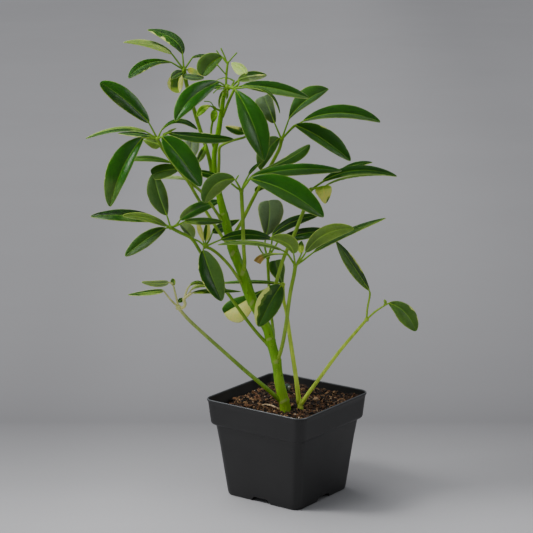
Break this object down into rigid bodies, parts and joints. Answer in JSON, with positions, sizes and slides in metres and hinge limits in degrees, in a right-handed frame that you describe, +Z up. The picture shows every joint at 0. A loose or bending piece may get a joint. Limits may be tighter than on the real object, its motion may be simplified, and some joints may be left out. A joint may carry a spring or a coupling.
{
  "type": "potted umbrella plant",
  "caption": "Small umbrella plant with glossy, cream-edged compound leaves on long stalks, growing from a leaning green stem in a black square nursery pot of bark soil.",
  "frame": {"origin": "centre of the pot's flat base, on the floor", "axes": "+Z up; X and Y run along the pot's sides"},
  "size_m": [0.2333, 0.2008, 0.3915],
  "materials": {
    "pot": "black moulded plastic with a soft sheen",
    "soil": "loose dark bark and peat",
    "bead": "dark green smooth bead",
    "stem": "smooth green bark with pale scars",
    "leaf": "glossy dark green leaf with cream edges; stands in for leaf tissue"
  },
  "bodies": {
    "root": {"pot": "pot", "soil": "soil", "bead": "bead", "main_stem": "stem", "crown": "leaf", "young_leaf": "leaf", "leaf_top_left": "leaf", "leaf_upper_right": "leaf", "leaf_centre": "leaf", "leaf_right": "leaf", "leaf_front": "leaf", "leaf_back": "leaf", "leaf_lower_left": "leaf", "leaf_far_left": "leaf", "leaf_left": "leaf", "leaf_small": "leaf", "leaf_inner": "leaf", "leaf_long_stalk": "leaf", "side_shoot": "leaf"}
  },
  "joints": []
}
